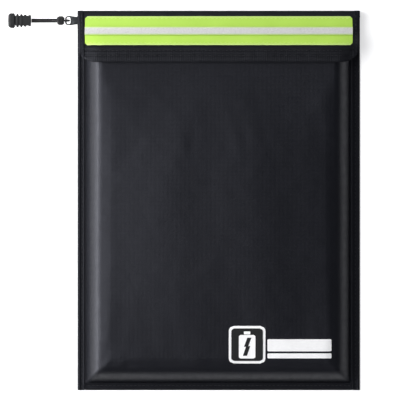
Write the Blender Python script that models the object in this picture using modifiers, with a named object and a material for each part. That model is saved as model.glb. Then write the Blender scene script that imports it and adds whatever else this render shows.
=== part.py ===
"""Fire-resistant pouch for model batteries and documents, lying on its back with its flap closed.

Metres, +Z up out of the front face, +Y towards the flap, origin on the back face at the pouch's middle.
"""

import math

import bmesh
import bpy
from mathutils import Matrix, Vector

# Driving dimensions
HALF_W = 0.1415  # half of the pouch's width, over the side bindings
HALF_L = 0.190  # half of its height
GAP = 0.0003  # between pieces that touch
CLOTH = 0.0006  # coated glass cloth
BATTING = 0.0030  # insulation in the front wall
FOIL = 0.0005  # lining
PUFF_TOP = 0.0240  # top of the filled front panel
SIDE_ROLL = 0.0190  # how far the sides take to reach full height
FOOT_ROLL = 0.0160
MOUTH_ROLL = 0.0240
BINDING_W = 0.0075
BINDING_LEG = 0.0005
BINDING_H = 0.0031
FLANGE_TOP = 0.0023  # the front panel's edge inside the binding
BACK_FLANGE = 0.0014
BODY_X = 0.1320  # where the puffy part starts
BODY_FOOT = -0.1822
PANEL_TOP = 0.1517  # end of the stiff front wall, below the mouth
LIP_Y = 0.1715  # the front wall's edge at the zip
ZIP_Y = 0.1800
TAPE_LOW, TAPE_HIGH = 0.0020, 0.0024
COIL_LOW, COIL_HIGH = 0.0025, 0.0035
COIL_NEAR, COIL_FAR = 0.0008, 0.0024  # a coil's two edges, from the middle of the zip
COIL_END = 0.1315
LENS_END = 0.1120  # the mouth gapes between these ends
WALL_TOP = 0.0129
FLAP_UNDER = 0.0132  # the flap's lower side above the zip
FLAP_RISE = 0.0135  # how much higher it is on the front panel
FLAP_HALF_W = 0.1398
FLAP_LOW = 0.1378
FLAP_CORNER_X, FLAP_CORNER_Y = 0.0190, 0.0140
TAPE_X = 0.1340
HIVIS = (0.1549, 0.1848)
STRIPE = (0.1659, 0.1738)
HOOK = (0.1393, 0.1493)
HOOK_X = 0.1120
SLIDER_X = (-0.1310, -0.1190)
PIVOT_X = -0.1263  # the tab turns here, in the slider's bail
PULL_Z = 0.0075  # the pull's mid height
RING_X = -0.1498  # the cord turns here, in the tab's ring
CORD_R = 0.0010
GRIP_LEFT, GRIP_RIGHT = -0.2109, -0.1876
GRIP_HALF_T = 0.0032

for old in list(bpy.data.objects):
    bpy.data.objects.remove(old, do_unlink=True)

PARTS = bpy.data.collections.new("battery_pouch")
bpy.context.scene.collection.children.link(PARTS)


def finish(name, colour, roughness, metallic=0.0):
    material = bpy.data.materials.new(name)
    material.use_nodes = True
    shader = material.node_tree.nodes["Principled BSDF"]
    shader.inputs["Base Color"].default_value = (*colour, 1.0)
    shader.inputs["Roughness"].default_value = roughness
    shader.inputs["Metallic"].default_value = metallic
    return material


CLOTH_BLACK = finish("coated_cloth", (0.030, 0.031, 0.034), 0.55)
BINDING_BLACK = finish("binding_tape", (0.020, 0.021, 0.024), 0.7)
FELT_WHITE = finish("insulating_felt", (0.75, 0.74, 0.70), 0.95)
FOIL_SILVER = finish("foil_lining", (0.62, 0.63, 0.65), 0.35, 0.6)
LIME = finish("hivis_tape", (0.52, 0.86, 0.16), 0.45)
SILVER = finish("reflective_film", (0.72, 0.71, 0.70), 0.4, 0.2)
ZIP_BLACK = finish("zip_tape", (0.018, 0.018, 0.020), 0.8)
NYLON_BLACK = finish("nylon_coil", (0.022, 0.022, 0.024), 0.4)
GUNMETAL = finish("gunmetal", (0.05, 0.052, 0.054), 0.35, 0.9)
CORD_BLACK = finish("braided_cord", (0.014, 0.014, 0.016), 0.85)
RUBBER = finish("grip_rubber", (0.042, 0.043, 0.046), 0.75)
HOOK_BLACK = finish("hook_and_loop", (0.020, 0.020, 0.022), 0.95)


def add(name, data, material):
    thing = bpy.data.objects.new(name, data)
    data.materials.append(material)
    PARTS.objects.link(thing)
    return thing


def block(name, low, high, material):
    mesh = bpy.data.meshes.new(name)
    bm = bmesh.new()
    size = Vector(high) - Vector(low)
    centre = (Vector(high) + Vector(low)) / 2
    bmesh.ops.create_cube(bm, size=1.0, matrix=Matrix.Translation(centre) @ Matrix.Diagonal((*size, 1.0)))
    bm.to_mesh(mesh)
    bm.free()
    return add(name, mesh, material)


def sheet(name, xs, rows, place, thickness, material):
    """A sheet of cloth: a grid with columns at xs and rows from 0 to 1, put in place by place(x, v)."""
    mesh = bpy.data.meshes.new(name)
    bm = bmesh.new()
    bmesh.ops.create_grid(bm, x_segments=len(xs) - 1, y_segments=len(rows) - 1, size=1.0)
    for vert in bm.verts:
        column = round((vert.co.x + 1) / 2 * (len(xs) - 1))
        row = round((vert.co.y + 1) / 2 * (len(rows) - 1))
        vert.co = place(xs[column], rows[row])
    bm.to_mesh(mesh)
    bm.free()
    thing = add(name, mesh, material)
    wall = thing.modifiers.new("wall", "SOLIDIFY")
    wall.thickness = thickness
    wall.offset = -1
    return thing


def flat_outline(name, loops, half_thickness, material):
    curve = bpy.data.curves.new(name, "CURVE")
    curve.dimensions = "2D"
    curve.fill_mode = "BOTH"
    curve.extrude = half_thickness
    for loop in loops:
        spline = curve.splines.new("POLY")
        spline.points.add(len(loop) - 1)
        for point, (x, y) in zip(spline.points, loop):
            point.co = (x, y, 0.0, 1.0)
        spline.use_cyclic_u = True
    return add(name, curve, material)


def wire(name, points, radius, material):
    curve = bpy.data.curves.new(name, "CURVE")
    curve.dimensions = "3D"
    curve.bevel_depth = radius
    curve.bevel_resolution = 2
    curve.use_fill_caps = True
    spline = curve.splines.new("POLY")
    spline.points.add(len(points) - 1)
    for point, co in zip(spline.points, points):
        point.co = (*co, 1.0)
    return add(name, curve, material)


def smooth(t):
    t = min(max(t, 0.0), 1.0)
    return t * t * (3 - 2 * t)


def roll(distance, reach):
    """A filled cloth's edge: steep at its seam, then flat."""
    t = min(max(distance / reach, 0.0), 1.0)
    return 1 - (1 - t) ** 2.4


def spread(start, end, count):
    return [start + (end - start) * k / count for k in range(count + 1)]


def edge_stations(edge, reach, count=6):
    """Stations from a seam inwards, closer together where the cloth is steep."""
    return [edge - reach * (k / count) ** 1.5 for k in range(count + 1)]


def mirrored(stations):
    return [-x for x in stations] + [0.0] + stations[::-1]


# Back wall: cloth that lies flat and lifts into the bindings, with its felt and lining
def back_place(x, y):
    lift = max(smooth((abs(x) - 0.1313) / 0.0024), smooth((-y - 0.1765) / 0.0055))
    return (x, y, CLOTH + (BACK_FLANGE - CLOTH) * lift)


def wall_rows(low, high):
    return [low, -0.1822, -0.1795, -0.1765, -0.09, 0.03, high]


sheet(
    "back_panel",
    mirrored([0.1406, 0.1337, 0.1325, 0.1313, 0.06]),
    wall_rows(-0.1892, 0.1884),
    back_place,
    CLOTH,
    CLOTH_BLACK,
)
block("back_batting", (-0.1255, -0.1745, 0.0009), (0.1255, 0.1525, 0.0018), FELT_WHITE)
block("back_lining", (-0.1250, -0.1740, 0.0021), (0.1250, 0.1525, 0.0026), FOIL_SILVER)


# Front wall: cloth, felt and lining, nested, each a filled panel that is open at the mouth
def front_layer(name, inset, base, top, thickness, material, flange=False):
    edge_x = BODY_X - inset
    foot = BODY_FOOT + inset

    def place(x, y):
        full = roll(edge_x - abs(x), SIDE_ROLL) * roll(y - foot, FOOT_ROLL) * roll(LIP_Y - y, MOUTH_ROLL)
        return (x, y, base + (top - base) * full)

    xs = edge_stations(edge_x, SIDE_ROLL) + [0.060]
    ys = [-y for y in edge_stations(-foot, FOOT_ROLL)] + [-0.080, 0.020, 0.100, PANEL_TOP]
    if flange:
        xs = [0.1406] + xs
        ys = [-0.1892] + ys
    return sheet(name, mirrored(xs), ys, place, thickness, material)


FELT_INSET = 0.0036
FELT_TOP = PUFF_TOP - CLOTH - 0.0009
LINING_INSET = FELT_INSET + BATTING + 0.0018
LINING_TOP = FELT_TOP - BATTING - 0.0009
front_layer("front_panel", 0.0, FLANGE_TOP, PUFF_TOP, CLOTH, CLOTH_BLACK, flange=True)
front_layer("front_batting", FELT_INSET, 0.0048, FELT_TOP, BATTING, FELT_WHITE)
front_layer("front_lining", LINING_INSET, 0.0042, LINING_TOP, FOIL, FOIL_SILVER)


# Throat: the soft strip between the front wall and the zip, which folds when the mouth opens
def throat_place(x, y):
    full = roll(BODY_X - abs(x), SIDE_ROLL) * roll(LIP_Y - y, MOUTH_ROLL)
    return (x, y, 0.0035 + (PUFF_TOP - 0.0035) * full)


throat_xs = [0.1314] + edge_stations(BODY_X, SIDE_ROLL)[1:] + [0.060]
sheet(
    "front_throat",
    mirrored(throat_xs),
    spread(PANEL_TOP + GAP, LIP_Y, 7),
    throat_place,
    CLOTH,
    CLOTH_BLACK,
)
block("loop_tape", (-HOOK_X, 0.1391, PUFF_TOP + GAP), (HOOK_X, 0.1491, PUFF_TOP + 0.0011), HOOK_BLACK)


# Bindings: folded tape sewn over the edges of both walls, a channel in section
def binding(name, length, turn, centre):
    web = BINDING_LEG
    section = [
        (0, 0),
        (BINDING_W, 0),
        (BINDING_W, web),
        (web, web),
        (web, BINDING_H - web),
        (BINDING_W, BINDING_H - web),
        (BINDING_W, BINDING_H),
        (0, BINDING_H),
    ]
    thing = flat_outline(name, [section], length / 2, BINDING_BLACK)
    thing.matrix_world = (
        Matrix.Translation(centre) @ Matrix.Rotation(turn, 4, "Z") @ Matrix.Rotation(math.radians(90), 4, "X")
    )
    return thing


SIDE_TOP = 0.1884
side_middle = (SIDE_TOP - HALF_L) / 2
binding("side_binding_left", SIDE_TOP + HALF_L, 0.0, (-HALF_W, side_middle, 0))
binding("side_binding_right", SIDE_TOP + HALF_L, math.pi, (HALF_W, side_middle, 0))
binding("bottom_binding", 2 * (HALF_W - BINDING_W - GAP), math.pi / 2, (0, -HALF_L, 0))
block("top_edge_panel", (-0.1412, 0.1887, 0.0), (0.1412, 0.1897, WALL_TOP), CLOTH_BLACK)

# Zip: two tapes, each with a nylon coil along its edge. The middle of the lower one gapes with the mouth
UPPER_TAPE_END = 0.1884
LOWER_TAPE_END = 0.1680


def zip_side(suffix, x_low, x_high, side):
    if side > 0:
        tape = (ZIP_Y + COIL_NEAR, UPPER_TAPE_END)
        coil = (ZIP_Y + COIL_NEAR, ZIP_Y + COIL_FAR)
    else:
        tape = (LOWER_TAPE_END, ZIP_Y - COIL_NEAR)
        coil = (ZIP_Y - COIL_FAR, ZIP_Y - COIL_NEAR)
    block("zip_tape_" + suffix, (x_low, tape[0], TAPE_LOW), (x_high, tape[1], TAPE_HIGH), ZIP_BLACK)
    block("zip_coil_" + suffix, (x_low, coil[0], COIL_LOW), (x_high, coil[1], COIL_HIGH), NYLON_BLACK)


zip_side("upper", -COIL_END, COIL_END, 1)
zip_side("lower", -LENS_END, LENS_END, -1)
zip_side("lower_left", -COIL_END, -LENS_END - GAP, -1)
zip_side("lower_right", LENS_END + GAP, COIL_END, -1)
for side_name, stop_x in (("left", -0.1325), ("right", 0.1325)):
    block(
        "zip_stop_" + side_name,
        (stop_x - 0.0006, ZIP_Y - 0.0030, COIL_LOW),
        (stop_x + 0.0006, ZIP_Y + 0.0030, COIL_HIGH),
        GUNMETAL,
    )

# Slider: two plates joined by a post that runs between the coils, with a wire bail
slider_section = [
    (-0.0045, 0.0009),
    (0.0045, 0.0009),
    (0.0045, 0.0016),
    (0.00045, 0.0016),
    (0.00045, 0.0038),
    (0.0032, 0.0038),
    (0.0032, 0.00275),
    (0.0045, 0.00275),
    (0.0045, 0.0048),
]
slider_section += [(-y, z) for y, z in slider_section[:0:-1] if z > 0.0009]
slider = flat_outline("slider_body", [slider_section], (SLIDER_X[1] - SLIDER_X[0]) / 2, GUNMETAL)
slider.matrix_world = (
    Matrix.Translation(((SLIDER_X[0] + SLIDER_X[1]) / 2, ZIP_Y, 0))
    @ Matrix.Rotation(math.pi / 2, 4, "Z")
    @ Matrix.Rotation(math.pi / 2, 4, "X")
)
BAIL_R = 0.0007
wire(
    "slider_bail",
    [
        (-0.1292, ZIP_Y, 0.0051),
        (-0.1291, ZIP_Y, 0.0086),
        (-0.1280, ZIP_Y, 0.0096),
        (-0.1228, ZIP_Y, 0.0096),
        (-0.1216, ZIP_Y, 0.0086),
        (-0.1215, ZIP_Y, 0.0051),
    ],
    BAIL_R,
    GUNMETAL,
)

# Pull tab: stamped plate, with a slot for the bail and a ring for the cord
tab_half = [
    (-0.1254, 0.0022),
    (-0.1262, 0.0032),
    (-0.1330, 0.0034),
    (-0.1410, 0.00375),
    (-0.1460, 0.0043),
    (-0.1490, 0.00475),
    (-0.1515, 0.0045),
    (-0.1529, 0.0036),
    (-0.1536, 0.0020),
]
tab_loop = tab_half + [(x, -y) for x, y in tab_half[::-1]]
slot = [(-0.1312, -0.0023), (-0.1272, -0.0023), (-0.1272, 0.0023), (-0.1312, 0.0023)]
RING_MIDDLE, RING_HALF_X, RING_HALF_Y = -0.1502, 0.0021, 0.0036
ring = []
for k in range(16):
    angle = 2 * math.pi * k / 16
    ring.append((RING_MIDDLE + RING_HALF_X * math.cos(angle), RING_HALF_Y * math.sin(angle)))
TAB_HALF_T = 0.0008
pivot = Vector((PIVOT_X, ZIP_Y, PULL_Z))
loops = [[(x - PIVOT_X, y) for x, y in loop] for loop in (tab_loop, slot, ring)]
tab = flat_outline("pull_tab", loops, TAB_HALF_T, GUNMETAL)
tab.location = pivot


# Pull cord: one cord doubled through the ring, its ends moulded into the grip
def smooth_route(points, step):
    """A Catmull-Rom curve through points, read about every step metres."""
    route = []
    padded = [points[0]] + points + [points[-1]]
    for a, b, c, d in zip(padded, padded[1:], padded[2:], padded[3:]):
        parts = max(1, round((c - b).length / step))
        for k in range(parts):
            t = k / parts
            bend = (2 * a - 5 * b + 4 * c - d) * t**2 + (3 * b - a - 3 * c + d) * t**3
            route.append(0.5 * (2 * b + (c - a) * t + bend))
    return route + [points[-1]]


CORD_HALF = [
    (-0.1873, -0.00105, 0.0),
    (-0.1790, -0.00105, 0.0),
    (-0.1700, -0.00105, 0.0001),
    (-0.1640, -0.00102, 0.0004),
    (-0.1600, -0.00090, 0.0007),
    (-0.1565, -0.00050, 0.0014),
    (-0.1540, -0.00010, 0.0022),
    (-0.1520, 0.0, 0.0022),
    (-0.1502, 0.0, 0.0016),
]
cord_points = CORD_HALF + [(RING_X, 0.0, 0.0)] + [(x, -y, -z) for x, y, z in CORD_HALF[::-1]]
cord_route = smooth_route([Vector(p) + Vector((0, ZIP_Y, PULL_Z)) for p in cord_points], 0.0035)
wire("pull_cord", cord_route, CORD_R, CORD_BLACK)


# Knot and grip: turned shapes along the cord, the grip pressed flat
def turned(name, profile, centre, flat, material):
    mesh = bpy.data.meshes.new(name)
    bm = bmesh.new()
    verts = [bm.verts.new((r, 0, h)) for r, h in profile]
    for a, b in zip(verts, verts[1:]):
        bm.edges.new((a, b))
    bm.to_mesh(mesh)
    bm.free()
    thing = add(name, mesh, material)
    screw = thing.modifiers.new("turn", "SCREW")
    screw.angle = 2 * math.pi
    screw.steps = 20
    screw.render_steps = 20
    screw.use_merge_vertices = True
    screw.merge_threshold = 0.00001
    screw.use_normal_calculate = False
    lying = Matrix.Rotation(-math.pi / 2, 4, "Y") @ Matrix.Diagonal((flat, 1.0, 1.0, 1.0))
    thing.matrix_world = Matrix.Translation(centre) @ lying
    return thing


knot_profile = [
    (0.0033, 0.0030),
    (0.0039, 0.0027),
    (0.0042, 0.0015),
    (0.0042, -0.0015),
    (0.0039, -0.0027),
    (0.0033, -0.0030),
    (0.0033, 0.0030),
]
turned("cord_knot", knot_profile, (-0.1596, ZIP_Y, PULL_Z), 0.84, CORD_BLACK)

grip_profile = [
    (0.0, 0.01165),
    (0.0060, 0.01165),
    (0.0073, 0.0108),
    (0.0075, 0.0095),
    (0.0074, 0.0057),
    (0.0066, 0.0049),
    (0.0050, 0.0041),
]
for rib_at, rib_r in ((0.0020, 0.00675), (-0.0018, 0.00655), (-0.0056, 0.00605)):
    grip_profile += [
        (0.0050, rib_at + 0.0013),
        (rib_r, rib_at + 0.0008),
        (rib_r, rib_at - 0.0008),
        (0.0050, rib_at - 0.0013),
    ]
grip_profile += [(0.0056, -0.0090), (0.0056, -0.0104), (0.0046, -0.01165), (0.0, -0.01165)]
grip_centre = ((GRIP_LEFT + GRIP_RIGHT) / 2, ZIP_Y, PULL_Z - 0.0002)
turned("pull_grip", grip_profile, grip_centre, GRIP_HALF_T / 0.0075, RUBBER)


# Flap: cloth folded over the zip, lying on the front wall and drooping at its sides
def flap_low(x):
    t = min(max((abs(x) - (FLAP_HALF_W - FLAP_CORNER_X)) / FLAP_CORNER_X, 0.0), 1.0)
    return FLAP_LOW + FLAP_CORNER_Y * (1 - math.sqrt(1 - t * t))


def flap_under(x, y):
    rise = smooth((0.1725 - y) / 0.0225)
    droop = 0.2 * smooth((abs(x) - 0.118) / (HALF_W - 0.118))
    return FLAP_UNDER + FLAP_RISE * rise * (1 - droop)


def draped(name, xs, low, high, rows, lift, thickness, material):
    def place(x, v):
        y = low(x) + (high - low(x)) * v
        return (x, y, flap_under(x, y) + lift + thickness)

    return sheet(name, xs, spread(0.0, 1.0, rows), place, thickness, material)


def flap_stations(half):
    """Stations across the flap, close together where its sides droop."""
    return mirrored(spread(half, 0.1165, 10) + [0.060])


FLAP_T = 0.0008
FLAP_LINING_T = 0.0005
TRIM_T = 0.0004
PANEL_LIFT = FLAP_LINING_T + 2 * GAP
TRIM_LIFT = PANEL_LIFT + FLAP_T + 2 * GAP
STRIPE_LIFT = TRIM_LIFT + TRIM_T + 2 * GAP
draped(
    "flap_lining",
    flap_stations(FLAP_HALF_W - 0.0015),
    lambda x: flap_low(x) + 0.002,
    0.1896,
    22,
    0.0,
    FLAP_LINING_T,
    CLOTH_BLACK,
)
draped("flap_panel", flap_stations(FLAP_HALF_W), flap_low, HALF_L, 22, PANEL_LIFT, FLAP_T, CLOTH_BLACK)
draped("hivis_tape", flap_stations(TAPE_X), lambda x: HIVIS[0], HIVIS[1], 12, TRIM_LIFT, TRIM_T, LIME)
draped(
    "reflective_stripe",
    flap_stations(TAPE_X - 0.0002),
    lambda x: STRIPE[0],
    STRIPE[1],
    3,
    STRIPE_LIFT,
    0.0002,
    SILVER,
)
HEM_NEAR, HEM_FAR = TAPE_X + GAP, FLAP_HALF_W - 0.0002
for side_name, hem_xs in (("left", spread(-HEM_FAR, -HEM_NEAR, 3)), ("right", spread(HEM_NEAR, HEM_FAR, 3))):
    draped(
        "flap_hem_" + side_name,
        hem_xs,
        lambda x: flap_low(x) + GAP,
        0.1897,
        16,
        TRIM_LIFT,
        TRIM_T,
        BINDING_BLACK,
    )
hook_top = FLAP_UNDER + FLAP_RISE - GAP
block("hook_tape", (-HOOK_X, HOOK[0], hook_top - 0.0010), (HOOK_X, HOOK[1], hook_top), HOOK_BLACK)
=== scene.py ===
import math

import bpy
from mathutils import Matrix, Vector, noise
from mathutils.bvhtree import BVHTree
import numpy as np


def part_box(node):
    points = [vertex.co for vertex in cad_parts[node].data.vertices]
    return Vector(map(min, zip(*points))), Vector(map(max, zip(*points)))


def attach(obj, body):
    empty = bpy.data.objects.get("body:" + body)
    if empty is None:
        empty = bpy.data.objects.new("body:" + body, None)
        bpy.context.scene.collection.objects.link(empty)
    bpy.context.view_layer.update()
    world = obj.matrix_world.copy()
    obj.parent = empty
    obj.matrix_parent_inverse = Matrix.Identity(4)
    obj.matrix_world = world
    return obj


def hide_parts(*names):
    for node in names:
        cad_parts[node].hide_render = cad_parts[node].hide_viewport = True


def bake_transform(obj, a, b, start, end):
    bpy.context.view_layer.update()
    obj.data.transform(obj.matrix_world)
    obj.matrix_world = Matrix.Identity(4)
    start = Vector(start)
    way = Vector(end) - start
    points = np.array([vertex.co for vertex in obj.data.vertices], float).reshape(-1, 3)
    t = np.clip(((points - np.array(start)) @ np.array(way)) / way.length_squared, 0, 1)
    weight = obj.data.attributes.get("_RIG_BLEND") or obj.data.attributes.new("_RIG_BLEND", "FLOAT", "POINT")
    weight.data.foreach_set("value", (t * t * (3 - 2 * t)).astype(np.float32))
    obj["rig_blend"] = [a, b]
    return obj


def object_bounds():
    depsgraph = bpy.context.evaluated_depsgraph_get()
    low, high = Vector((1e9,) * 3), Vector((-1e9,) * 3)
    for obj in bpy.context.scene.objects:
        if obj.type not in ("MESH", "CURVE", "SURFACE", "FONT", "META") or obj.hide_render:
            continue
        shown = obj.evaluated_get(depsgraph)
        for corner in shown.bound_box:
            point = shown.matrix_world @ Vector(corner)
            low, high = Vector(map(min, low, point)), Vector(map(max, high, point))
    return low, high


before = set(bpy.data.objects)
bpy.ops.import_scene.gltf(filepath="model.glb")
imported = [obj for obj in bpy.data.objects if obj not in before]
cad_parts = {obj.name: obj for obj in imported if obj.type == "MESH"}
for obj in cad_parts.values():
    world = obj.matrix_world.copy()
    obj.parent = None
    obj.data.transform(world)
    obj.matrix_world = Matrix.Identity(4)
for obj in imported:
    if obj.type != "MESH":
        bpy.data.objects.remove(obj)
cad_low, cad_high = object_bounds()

# Studio: a sheet of white paper under the pouch, two large soft lights on its left, one low and one high,
# weak ones at its top and foot, and a camera with a long lens that looks straight down.
PAPER_SIDE = 6.0
PAPER_GLOW = 0.56
SKY_LIGHT = 0.22
LENS_MM, SENSOR_MM = 420.0, 36.0
VIEW_WIDTH = 0.4002
VIEW_MIDDLE = (-0.0187, 0.0005)
MID_HEIGHT = 0.008
# Each light's name, place, width, height and watts
SOFTBOXES = (
    ("left_softbox", (-1.00, 0.12, 0.20), 1.3, 0.32, 25.0),
    ("high_left_softbox", (-0.95, 0.08, 1.50), 1.5, 1.3, 24.0),
    ("top_softbox", (-0.20, 1.20, 0.80), 1.4, 0.5, 1.8),
    ("foot_softbox", (-0.10, -1.20, 0.80), 1.4, 0.5, 0.3),
)


def linear(code):
    """The linear colour of an sRGB hex code."""
    parts = [int(code[k : k + 2], 16) / 255 for k in (1, 3, 5)]
    return (*(p / 12.92 if p <= 0.04045 else ((p + 0.055) / 1.055) ** 2.4 for p in parts), 1.0)


def new_finish(name, **sockets):
    """A material, its node tree and its shader; sockets are named with _ for a space."""
    material = bpy.data.materials.new(name)
    material.use_nodes = True
    shader = material.node_tree.nodes["Principled BSDF"]
    for key, value in sockets.items():
        given = linear(value) if isinstance(value, str) else value
        shader.inputs[key.replace("_", " ")].default_value = given
    return material, material.node_tree, shader


paper, tree, shader = new_finish("matt_paper", Base_Color="#f4f4f4", Roughness=0.95, Specular_IOR_Level=0.05)
shader.inputs["Emission Color"].default_value = linear("#ffffff")
shader.inputs["Emission Strength"].default_value = PAPER_GLOW
bpy.ops.object.select_all(action="DESELECT")
bpy.ops.mesh.primitive_plane_add(size=PAPER_SIDE, location=(0, 0, -0.0002))
floor = bpy.context.object
bpy.ops.object.transform_apply(location=True, rotation=False, scale=False)
floor.name = "paper_floor"
floor.data.materials.append(paper)

world = bpy.data.worlds.new("studio")
bpy.context.scene.world = world
world.use_nodes = True
world.node_tree.nodes["Background"].inputs["Color"].default_value = linear("#f4f6ff")
world.node_tree.nodes["Background"].inputs["Strength"].default_value = SKY_LIGHT
for light_name, spot, size_x, size_y, watts in SOFTBOXES:
    lamp = bpy.data.lights.new(light_name, "AREA")
    lamp.shape = "RECTANGLE"
    lamp.size, lamp.size_y = size_x, size_y
    lamp.energy = watts
    holder = bpy.data.objects.new(light_name, lamp)
    holder.location = spot
    holder.rotation_euler = (-Vector(spot)).to_track_quat("-Z", "Y").to_euler()
    bpy.context.collection.objects.link(holder)

camera_data = bpy.data.cameras.new("camera")
camera_data.lens = LENS_MM
camera_data.sensor_width = SENSOR_MM
camera = bpy.data.objects.new("camera", camera_data)
camera.location = (*VIEW_MIDDLE, MID_HEIGHT + VIEW_WIDTH * LENS_MM / SENSOR_MM)
bpy.context.collection.objects.link(camera)
bpy.context.scene.camera = camera
bpy.context.scene.view_settings.view_transform = "Standard"

# Pull cord: one 2 mm braided polyester cord, doubled through the ring of the zip's tab, with its two ends
# moulded into the grip. The strands run side by side, and part over and under the ring.
CORD_D = 0.0020
BRAID = 0.0010
WAVE = math.pi / 10  # a wave texture's bands are WAVE / scale metres apart
ring_low, ring_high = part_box("pull_tab")
ZIP_Y = (ring_low.y + ring_high.y) / 2
PULL_Z = (ring_low.z + ring_high.z) / 2
PULL_MIDDLE = Vector((0, ZIP_Y, PULL_Z))
# The strand on the left, from the grip over the ring, as (x, aside, up) from the pull's own middle line
CORD_HALF = [
    (-0.1873, -0.00100, 0.0),
    (-0.1790, -0.00100, 0.0),
    (-0.1700, -0.00100, 0.0001),
    (-0.1640, -0.00102, 0.0004),
    (-0.1600, -0.00090, 0.0007),
    (-0.1565, -0.00050, 0.0014),
    (-0.1540, -0.00010, 0.0022),
    (-0.1520, 0.0, 0.0022),
    (-0.1502, 0.0, 0.0016),
]
CORD_NOSE = (-0.1498, 0.0, 0.0)  # where it turns back, inside the ring
cord_points = CORD_HALF + [CORD_NOSE] + [(x, -y, -z) for x, y, z in CORD_HALF[::-1]]
cord_points = [Vector(p) + PULL_MIDDLE for p in cord_points]


def smooth_route(points, step):
    """A Catmull-Rom curve through points, read about every step metres."""
    line = []
    padded = [points[0]] + points + [points[-1]]
    for a, b, c, d in zip(padded, padded[1:], padded[2:], padded[3:]):
        parts = max(1, round((c - b).length / step))
        for k in range(parts):
            t = k / parts
            bend = (2 * a - 5 * b + 4 * c - d) * t**2 + (3 * b - a - 3 * c + d) * t**3
            line.append(0.5 * (2 * b + (c - a) * t + bend))
    return line + [points[-1]]


def add(tree, kind, socket, inputs=(), **settings):
    """Add a node and give back one of its output sockets; inputs are values, or sockets to link from."""
    made = tree.nodes.new("ShaderNode" + kind)
    for key, value in settings.items():
        setattr(made, key, value)
    for key, value in dict(inputs).items():
        if isinstance(value, bpy.types.NodeSocket):
            tree.links.new(value, made.inputs[key])
        else:
            made.inputs[key].default_value = value
    return made.outputs[socket]


def connect(tree, shader, **sockets):
    """Link sockets to the shader's own, named with _ for a space."""
    for key, value in sockets.items():
        tree.links.new(value, shader.inputs[key.replace("_", " ")])


def speckle(tree, place, size, detail):
    """A noise whose largest spots are about size metres wide."""
    return add(tree, "TexNoise", "Fac", {"Vector": place, "Scale": 1 / size, "Detail": detail})


def tint(tree, share, first, second):
    """A mix of two colours given as hex codes, with the share of the second."""
    return add(tree, "Mix", 2, {0: share, 6: linear(first), 7: linear(second)}, data_type="RGBA")


def bump(tree, height, distance):
    """A relief that stands up to distance metres high."""
    return add(tree, "Bump", 0, {"Height": height, "Distance": distance})


# Braided polyester: a matt black sheath whose crossing strands stand up as small diamonds
braid, tree, shader = new_finish("braided_polyester", Roughness=0.85, Sheen_Weight=0.15, Sheen_Roughness=0.5)
place = add(tree, "TexCoord", "Object")
strands = []
for lay in (-35, 35):
    turned_place = add(tree, "Mapping", 0, {"Vector": place, "Rotation": (0, 0, math.radians(lay))})
    strands.append(add(tree, "TexWave", "Fac", {"Vector": turned_place, "Scale": WAVE / BRAID}))
relief = add(tree, "Math", 0, {0: strands[0], 1: strands[1]}, operation="MAXIMUM")
shade = tint(tree, relief, "#040405", "#101012")
connect(tree, shader, Base_Color=shade, Normal=bump(tree, relief, 0.0002))


def dress(piece, material):
    """Give a piece its finish."""
    piece.data.materials.clear()
    piece.data.materials.append(material)


def tube(name, line, radius):
    """A round cord along a line of points, as a curve of one spline."""
    curve = bpy.data.curves.new(name, "CURVE")
    curve.dimensions = "3D"
    curve.bevel_depth = radius
    curve.bevel_resolution = 3
    curve.use_fill_caps = True
    spline = curve.splines.new("POLY")
    spline.points.add(len(line) - 1)
    for point, spot in zip(spline.points, line):
        point.co = (*spot, 1.0)
    piece = bpy.data.objects.new(name, curve)
    bpy.context.collection.objects.link(piece)
    return piece


route = smooth_route(cord_points, 0.0012)
cord_length = sum((b - a).length for a, b in zip(route, route[1:]))
cord = tube("braided_pull_cord", route, CORD_D / 2)
dress(cord, braid)
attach(cord, "zip_cord")
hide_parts("pull_cord")

# Cord knot: the same cord, wound five times round the doubled strands behind the ring and drawn tight.
KNOT_TURNS = 5
TURN_STEPS = 18
WRAP_R = 0.00085
KNOT_SHIFT, KNOT_LONGER, KNOT_WIDER = 0.00145, 0.00085, 0.0005  # towards the ring, and at each end and side
knot_low, knot_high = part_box("cord_knot")
knot_middle = (knot_low + knot_high) / 2 + Vector((KNOT_SHIFT, 0, 0))
knot_half = (knot_high - knot_low) / 2 + Vector((KNOT_LONGER, KNOT_WIDER, 0))
wrap = []
for k in range(KNOT_TURNS * TURN_STEPS + 1):
    turn = k / (KNOT_TURNS * TURN_STEPS)
    angle = 2 * math.pi * KNOT_TURNS * turn
    tight = 1 - 0.30 * abs(2 * turn - 1) ** 3
    out_y = (knot_half.y - WRAP_R) * tight
    out_z = (knot_half.z - WRAP_R) * tight
    along = (knot_half.x - WRAP_R) * (2 * turn - 1)
    wrap.append(knot_middle + Vector((along, out_y * math.cos(angle), out_z * math.sin(angle))))
knot = tube("cord_knot_wraps", wrap, WRAP_R)
dress(knot, braid)
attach(knot, "zip_cord")
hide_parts("cord_knot")

# Pull grip: soft black rubber moulded round the cord's ends, with a wide head, three ribs and a short neck,
# and pressed a little flat, with the ribs standing out most at its sides.
GRIP_R = 0.0075
GROOVE_R, FACE_R = 0.0050, 0.0063  # the grooves are deep at its sides and shallow across its faces
RIBS = ((0.0020, 0.00675), (-0.0018, 0.00655), (-0.0056, 0.00605))
RIB_HALF = 0.00125
HEAD_START, HEAD_RISE, HEAD_EDGE = 0.0042, 0.0016, 0.0036
NECK_START, NECK_R, NECK_EDGE = -0.0090, 0.0056, 0.0010
grip_low, grip_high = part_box("pull_grip")
grip_middle = (grip_low + grip_high) / 2
GRIP_HALF_L = (grip_high.x - grip_low.x) / 2
grip_flat = (grip_high.z - grip_low.z) / (grip_high.y - grip_low.y)
rubber, tree, shader = new_finish("moulded_soft_rubber", Roughness=0.62, Specular_IOR_Level=0.36)
place = add(tree, "TexCoord", "Object")
grit = speckle(tree, place, 0.0007, 3.0)
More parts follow.
